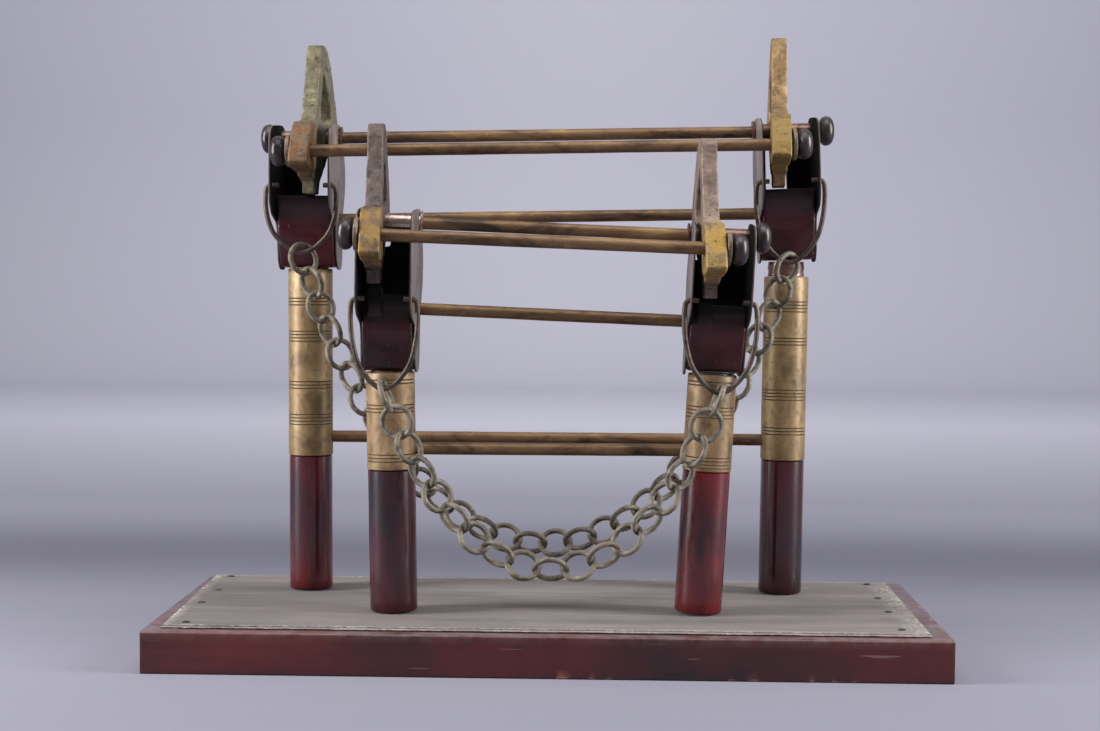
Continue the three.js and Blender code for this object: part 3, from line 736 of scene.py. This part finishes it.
for post in POSTS:
    for side in SIDES:
        place_cheek(f"{post}_cheek_{side}", post)
    start, d = PIN_LINE[post.split("_")[0]]
    middle = Vector(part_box(f"{post}_lever")[0]).lerp(Vector(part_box(f"{post}_lever")[1]), 0.5)
    pin = Vector(start + d * ((middle.x - start[0]) / d[0]))

    # The block is painted black above its nose, between the cheeks: painted shade for the shadow there.
    block = softened(f"{post}_head_block", f"{post}_carved_block", 0.9, 4, carved_skin)
    settle(block, f"{post}_head_block", "block")
    heights = [(v.co.z - pin.z) / MM for v in block.data.vertices]
    set_attribute(block, "painted_shade", [fade(h, *PAINTED_SHADE_HEIGHTS[post]) for h in heights])

    # The lever's nose, in front of the bend, has its own colour.
    lever = softened(f"{post}_lever", f"{post}_cast_lever", 0.8, 3, cast_skin)
    settle(lever, f"{post}_lever", f"lever_{post}")
    forward = [(pin.y - v.co.y) / MM for v in lever.data.vertices]
    set_attribute(lever, "nose", [fade(u, 40, 52) for u in forward])

# ---- Bails and chains ----------------------------------------------------------------------------

WIRE_R = 1.5 * MM
RING_R, RING_WIRE, RING_PITCH = 9.3 * MM, 1.62 * MM, 15.5 * MM
RING_UNDER_BAIL = 4.3 * MM
CHAIN_LOW = {"front": 57 * MM, "back": 61 * MM}


def bail_size(post):
    """(hinge, half width, length to the wire's lowest middle) of a bail."""
    low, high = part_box(f"{post}_bail")
    hinge = Vector(JOINTS[f"{post}_bail_swing"]["pos_m"])
    return hinge, (high[0] - low[0]) / 2 - WIRE_R, hinge.z - low[2] - WIRE_R


def place_bail(post):
    hinge, half, length = bail_size(post)
    lean = cheek_frame(f"{post}_cheek_left")[1][2]
    h, n = half / MM, length / MM
    right = [
        (h - 8, 0), (h - 5, 0), (h - 2.6, -0.1), (h - 0.7, -1.6), (h, -4.5), (h, -n * 0.32),
        (h - 1.2, -n * 0.5), (h * 0.78, -n * 0.72), (h * 0.42, -n * 0.92), (h * 0.12, -n),
    ]
    both = right + [(-x, v) for x, v in reversed(right)]
    path = [
        (hinge.x + x * MM, hinge.y, hinge.z + (v + x * lean * (1 + v / n)) * MM) for x, v in both
    ]
    verts, faces = wire(spline(path, 110, False), WIRE_R, 16, False, 0.12 * MM)
    settle(make_object(f"{post}_bail_wire", verts, faces), f"{post}_bail", "iron")


def hanging_rings(start, end, lowest):
    """(centre, direction) of each ring along a catenary between two points."""
    span = end.x - start.x
    sag = (start.z + end.z) / 2 - lowest
    low, high = span / 40, span * 4
    for _ in range(60):
        a = (low + high) / 2
        if a * (math.cosh(span / 2 / a) - 1) > sag:
            low = a
        else:
            high = a
    total = 2 * a * math.sinh(span / 2 / a)
    count = int(total / RING_PITCH) + 1
    rings = []
    for i in range(count):
        f = i / (count - 1)
        dx = a * math.asinh((f - 0.5) * total / a)
        z = lowest + a * (math.cosh(dx / a) - 1) + (f - 0.5) * (end.z - start.z)
        at = Vector(((start.x + end.x) / 2 + dx, start.y + f * (end.y - start.y), z))
        rings.append((at, Vector((1, 0, math.sinh(dx / a))).normalized()))
    return rings


def place_chain(f):
    ends = []
    for side, inward in (("left", 1.5), ("right", -1.5)):
        hinge, _, length = bail_size(f"{f}_{side}")
        ends.append(Vector((hinge.x + inward * MM, hinge.y, hinge.z - length - RING_UNDER_BAIL)))
    rings = hanging_rings(*ends, CHAIN_LOW[f])
    across = Vector((0, 1, 0))
    verts, faces = [], []
    for i, (at, run) in enumerate(rings):
        from_end = min(i, len(rings) - 1 - i)
        turn = max(0, 40 - 15 * from_end) if f == "front" else 0
        roll = math.radians(90 * (i % 2) + 45 + (turn if i % 2 == from_end % 2 else -turn))
        up = across.cross(run).normalized()
        path = []
        for k in range(40):
            a = 2 * math.pi * k / 40
            x, y = RING_R * math.cos(a), RING_R * math.sin(a)
            path.append(at + run * x - up * y * math.cos(roll) + across * y * math.sin(roll))
        v, q = wire(path, RING_WIRE, 12, True, 0.28 * MM)
        faces += [tuple(c + len(verts) for c in face) for face in q]
        verts += v
    settle(make_object(f"{f}_chain_rings", verts, faces, 70), f"{f}_chain", "chain")


for post in POSTS:
    place_bail(post)
for f in FRAMES:
    place_chain(f)

# ---- Board ---------------------------------------------------------------------------------------


def board_section(depth, height, edge):
    """The board's outline across its depth, as (y, z), anticlockwise, with rounded arrises."""
    points = []
    for cy, cz, first in ((1, 0, -90), (1, 1, 0), (-1, 1, 90), (-1, 0, 180)):
        y = cy * (depth / 2 - edge)
        z = height - edge if cz else edge
        for k in range(6):
            a = math.radians(first + 18 * k)
            points.append((y + edge * math.cos(a), z + edge * math.sin(a)))
    return points


BOARD_EDGE = 1.5 * MM               # radius of the board's arrises
BOARD_STATIONS = 461                # cross-sections along the board
CHIP_REACH = 1.6 * MM               # how far from an arris a chip can start
CHIP_ZONE = 3 * MM                  # chips stay this near the floor or the right end
CHIP_DEPTH = 2.4 * MM


def place_board():
    low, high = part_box("base_board")
    middle_y = (low[1] + high[1]) / 2
    section = board_section(high[1] - low[1], high[2] - low[2], BOARD_EDGE)
    filled = []
    for (y0, z0), (y1, z1) in zip(section, section[1:] + section[:1]):
        steps = max(1, int(math.hypot(y1 - y0, z1 - z0) / (4 * MM)))
        filled += [(y0 + (y1 - y0) * k / steps, z0 + (z1 - z0) * k / steps) for k in range(steps)]
    stations = BOARD_STATIONS
    verts, chip, rub = [], [], []
    for i in range(stations):
        x = low[0] + (high[0] - low[0]) * i / (stations - 1)
        end_gap = min(x - low[0], high[0] - x)
        for y, z in filled:
            at = Vector((x, middle_y + y, z))
            from_edge_z = min(z, high[2] - z)
            from_edge_y = min(y + (high[1] - low[1]) / 2, (high[1] - low[1]) / 2 - y)

            # Chips: bitten into the wood along the arrises, but not on the flat ends.
            two = sorted((from_edge_z, from_edge_y, end_gap))
            corner = max(0.0, 1 - math.hypot(two[0], two[1]) / CHIP_REACH)
            in_zone = z < CHIP_ZONE or x > high[0] - CHIP_ZONE
            wear = noise.noise(Vector((x * 210, y * 120, z * 260 + 4)))
            patch = noise.noise(Vector((x * 24, y * 24, 2.0))) > 0.06
            on_end = i in (0, stations - 1)
            bite = max(0.0, wear - 0.16) * corner if in_zone and patch and not on_end else 0.0
            inward = Vector((-x * 0.2, -y, (high[2] / 2 - z) * 3)).normalized()
            verts.append(at + inward * bite * CHIP_DEPTH)
            chip.append(min(1.0, bite * 9))

            # Rubbing: the top front arris, the top beside the cloth, and a little on every arris.
            top_front = max(0.0, 1 - abs(z - high[2]) / (2.6 * MM)) if from_edge_y < 6 * MM else 0.0
            top_side = 1.0 if z > high[2] - 0.5 * MM and end_gap < 20 * MM else 0.0
            rub.append(max(top_front, top_side, 0.35 * corner))
    n = len(filled)
    faces = [
        (i * n + k, i * n + (k + 1) % n, (i + 1) * n + (k + 1) % n, (i + 1) * n + k)
        for i in range(stations - 1)
        for k in range(n)
    ]
    faces += [tuple(range(n)), tuple(range((stations - 1) * n, stations * n))]
    board = make_object("board_lacquered", verts, faces, 35)
    set_attribute(board, "chip", chip)
    set_attribute(board, "rub", rub)
    settle(board, "base_board", "board")


place_board()

# ---- Cloth, hem and tacks ------------------------------------------------------------------------

CLOTH_THICK = 0.45 * MM
CLOTH_NARROWER_AT_FRONT = (6 * MM, 1.5 * MM)         # left and right
HEM_DEPTH = 4.5 * MM
TACKS = [(-215.2, 90.1), (-213.2, 37.2), (-213.9, -8.1), (-208.9, -72.3),
         (207.2, 88.1), (206.3, 35.1), (205.7, -12.6), (204.5, -68.9)]
TACK_SHAPE = [(0, 0), (2.3, 0), (2.4, 0.25), (2.0, 0.62), (1.2, 0.9), (0, 1.0)]   # radius, height


def cloth_piece(name, y_from, y_to, height, thick, ragged, nx, ny):
    """A flat cloth with a ragged outline, a slight ripple and its threads loosening at the edges."""
    low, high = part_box("base_cloth")
    left, right = CLOTH_NARROWER_AT_FRONT
    verts, fray = [], []
    for layer in (0, 1):
        for j in range(ny + 1):
            v = j / ny
            y = y_from + (y_to - y_from) * v
            back = (y - low[1]) / (high[1] - low[1])
            x0 = low[0] + left * (1 - back)
            x1 = high[0] - right * (1 - back)
            for i in range(nx + 1):
                u = i / nx
                x = x0 + (x1 - x0) * u
                pull_x = ragged * (0.5 + 0.5 * noise.noise(Vector((y * 240, 3.0, u * 2))))
                pull_y = ragged * (0.5 + 0.5 * noise.noise(Vector((x * 130, v * 2, 8.0))))
                fx = x + (pull_x if i == 0 else -pull_x if i == nx else 0.0)
                fy = y + (pull_y if j == 0 else -pull_y if j == ny else 0.0)
                ripple = 0.16 * MM * noise.noise(Vector((x * 22, y * 34, 1.0)))
                top = height + ripple
                verts.append((fx, fy, top if layer else top - thick))
                near = min((x - x0) / (7 * MM), (x1 - x) / (16 * MM), (y - y_from) / (4 * MM),
                           (y_to - y) / (5 * MM))
                fray.append(max(0.0, 1 - near))
    row = nx + 1
    size = row * (ny + 1)
    faces = []
    for j in range(ny):
        for i in range(nx):
            a = j * row + i
            faces.append((a, a + 1, a + row + 1, a + row))
            faces.append((size + a, size + a + row, size + a + row + 1, size + a + 1))
    rim = [i for i in range(row)] + [j * row + nx for j in range(1, ny + 1)]
    rim += [ny * row + i for i in range(nx - 1, -1, -1)] + [j * row for j in range(ny - 1, 0, -1)]
    for a, b in zip(rim, rim[1:] + rim[:1]):
        faces.append((a, size + a, size + b, b))
    obj = make_object(name, verts, faces, 60)
    set_attribute(obj, "fray", fray)
    return obj


cloth_low, cloth_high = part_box("base_cloth")
cloth = cloth_piece("cloth_top", cloth_low[1] + HEM_DEPTH, cloth_high[1], cloth_high[2] - 0.2 * MM,
                    CLOTH_THICK, 1.1 * MM, 180, 74)
settle(cloth, "base_cloth", "canvas")
hem = cloth_piece("cloth_hem", cloth_low[1], cloth_low[1] + 16 * MM, cloth_low[2] + 0.38 * MM, 0.3 * MM,
                  0.9 * MM, 180, 8)
settle(hem, "base_cloth", "canvas", replaces=False)
depth = float(cloth_high[1] - cloth_low[1])

for k, (x, y) in enumerate(TACKS):
    tack = lathe(f"cloth_tack_{k}", (x * MM, y * MM, cloth_high[2] - 0.35 * MM), (0, 0, 1),
                 [(r * MM, h * MM) for r, h in TACK_SHAPE], 20)
    settle(tack, "base_cloth", "knob", replaces=False)

# ---- Floor, backdrop and light -------------------------------------------------------------------


SWEEP_FLAT_TO, SWEEP_RADIUS, SWEEP_TOP = 2.6, 0.6, 3.2    # metres; the bend stands well back
# The darker band is painted shade across the floor.
BAND_AT, BAND_WIDTH = 0.36, 0.2                           # the darker band across the floor


def add_backdrop():
    """One pale sweep: a floor that bends up well behind the object, with a band of painted shade across it
    and painted light and shade on its paper.
    """
    flat_to, radius, top = SWEEP_FLAT_TO, SWEEP_RADIUS, SWEEP_TOP
    line = [(-3.0, 0.0), (-1.0, 0.0)] + [(-0.5 + 0.05 * k, 0.0) for k in range(60)]
    line.append((flat_to, 0.0))
    for k in range(1, 25):
        a = math.radians(90 * k / 24)
        line.append((flat_to + radius * math.sin(a), radius * (1 - math.cos(a))))
    line.append((flat_to + radius, top))
    columns = [-3.0, -1.5] + [-1.0 + 0.1 * k for k in range(21)] + [1.5, 3.0]
    verts = [(x, y, z) for x in columns for y, z in line]
    n = len(line)
    faces = [
        (c * n + i, c * n + i + 1, (c + 1) * n + i + 1, (c + 1) * n + i)
        for c in range(len(columns) - 1)
        for i in range(n - 1)
    ]
    sweep = make_object("studio_sweep", verts, faces, 80)
    # Painted light and shade on one paper: the near floor is painted darker than the paper further back, a
    # band of painted shade crosses the floor, and the wall is painted lighter in the middle.
    set_attribute(sweep, "rise", [fade(y, 0.75, 1.7) for _, y, _ in verts])
    set_attribute(sweep, "painted_shade_band", [math.exp(-((y - BAND_AT) / BAND_WIDTH) ** 2) for _, y, _ in verts])
    set_attribute(sweep, "middle", [math.exp(-((x / 0.45) ** 2)) for x, _, _ in verts])
    s = Surface("studio_paper", specular=0.1)
    wall = s.mix(rgb("bab9c6"), rgb("bfbec9"), s.attribute("middle"))
    paper = s.mix(rgb("858490"), wall, s.attribute("rise"))
    s.colour(s.mix(paper, rgb("5f5e69"), s.attribute("painted_shade_band")))
    s.shader.inputs["Roughness"].default_value = 0.9
    sweep.data.materials.append(s.material)


def add_light(name, at, target, size, power, colour=(1.0, 1.0, 1.0)):
    data = bpy.data.lights.new(name, "AREA")
    data.shape = "RECTANGLE"
    data.size, data.size_y = size
    data.energy = power
    data.color = colour
    light = bpy.data.objects.new(name, data)
    bpy.context.scene.collection.objects.link(light)
    light.location = at
    light.rotation_euler = (Vector(target) - Vector(at)).to_track_quat("-Z", "Y").to_euler()


add_backdrop()
middle = (0.0, 0.0, 0.17)
add_light("softbox_left", (-1.25, -0.3, 0.6), middle, (0.4, 1.1), 28)
add_light("softbox_right", (1.3, -0.25, 0.6), middle, (0.4, 1.1), 25)
add_light("backdrop_wash", (0.0, 1.1, 2.0), (0.0, 2.9, 0.5), (3.4, 0.7), 42)
add_light("softbox_above", (0.0, -0.35, 1.5), (0.0, 0.1, 0.0), (1.5, 1.0), 13)

world = bpy.data.worlds.new("studio_air")
world.use_nodes = True
world.node_tree.nodes["Background"].inputs["Color"].default_value = (0.62, 0.61, 0.68, 1.0)
world.node_tree.nodes["Background"].inputs["Strength"].default_value = 0.33
bpy.context.scene.world = world
bpy.context.scene.view_settings.view_transform = "Standard"
